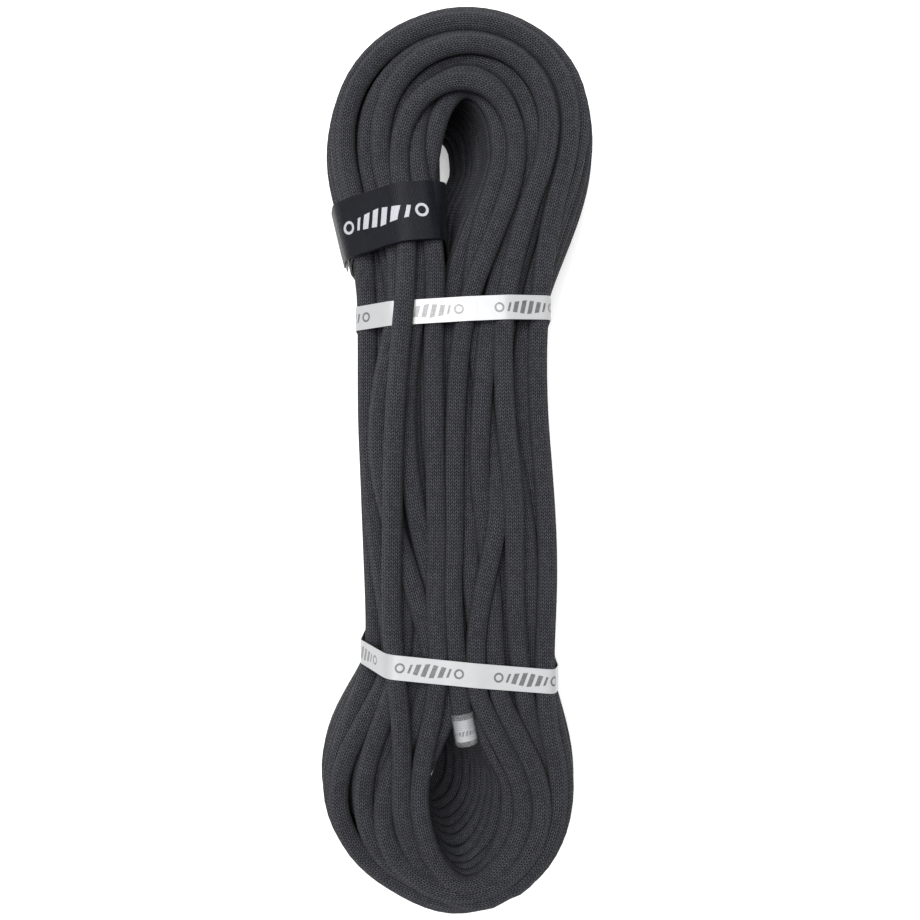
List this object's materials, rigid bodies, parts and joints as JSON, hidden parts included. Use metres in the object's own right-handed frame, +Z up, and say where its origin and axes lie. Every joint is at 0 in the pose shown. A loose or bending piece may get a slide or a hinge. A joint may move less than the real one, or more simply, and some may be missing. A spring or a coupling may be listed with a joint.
{
  "type": "dynamic climbing rope",
  "caption": "Dynamic climbing rope wound into a hank, held by printed bands and a hook-and-loop strap, with both sleeved rope ends tucked in.",
  "frame": {"origin": "on the surface the hank lies on, under the middle of its box", "axes": "+Y along the hank towards the loop with the strap, +X to the right seen from the front, +Z up out of the front"},
  "size_m": [0.1517, 0.4918, 0.1283],
  "materials": {
    "rope_sheath": "matte charcoal herringbone braid",
    "core_strand": "twisted white nylon",
    "melted_tip": "fused nylon",
    "end_label": "printed film",
    "clear_sleeve": "clear heat-shrink",
    "printed_band": "white coated paper with a grey print",
    "band_tab": "white adhesive film",
    "felt_lining": "grey brushed felt",
    "hook_pad": "moulded nylon hooks",
    "loop_pad": "brushed nylon loops",
    "strap_webbing": "satin woven webbing"
  },
  "bodies": {
    "hank": {"back_end_clear_sleeve": "clear_sleeve", "back_end_core_strand_1": "core_strand", "back_end_core_strand_10": "core_strand", "back_end_core_strand_11": "core_strand", "back_end_core_strand_2": "core_strand", "back_end_core_strand_3": "core_strand", "back_end_core_strand_4": "core_strand", "back_end_core_strand_5": "core_strand", "back_end_core_strand_6": "core_strand", "back_end_core_strand_7": "core_strand", "back_end_core_strand_8": "core_strand", "back_end_core_strand_9": "core_strand", "back_end_melted_tip": "melted_tip", "back_end_printed_label": "end_label", "back_end_sheath": "rope_sheath", "front_end_clear_sleeve": "clear_sleeve", "front_end_core_strand_1": "core_strand", "front_end_core_strand_10": "core_strand", "front_end_core_strand_11": "core_strand", "front_end_core_strand_2": "core_strand", "front_end_core_strand_3": "core_strand", "front_end_core_strand_4": "core_strand", "front_end_core_strand_5": "core_strand", "front_end_core_strand_6": "core_strand", "front_end_core_strand_7": "core_strand", "front_end_core_strand_8": "core_strand", "front_end_core_strand_9": "core_strand", "front_end_melted_tip": "melted_tip", "front_end_printed_label": "end_label", "front_end_sheath": "rope_sheath", "lower_band": "printed_band", "lower_band_glued_tab": "band_tab", "rope_hank": "rope_sheath", "strand_over_upper_band": "rope_sheath", "strap_loop_pad": "loop_pad", "strap_webbing": "strap_webbing", "upper_band": "printed_band", "upper_band_glued_tab": "band_tab"},
    "flap": {"strap_flap": "strap_webbing", "strap_hook_pad": "hook_pad", "flap_end_lining": "felt_lining"}
  },
  "joints": [
    {"name": "flap_peel", "type": "hinge", "parent": "hank", "child": "flap", "pos_m": [-0.01435, 0.12142, 0.119], "axis": [0.0167, 0.9999, 0], "range_deg": [0, 120]}
  ]
}
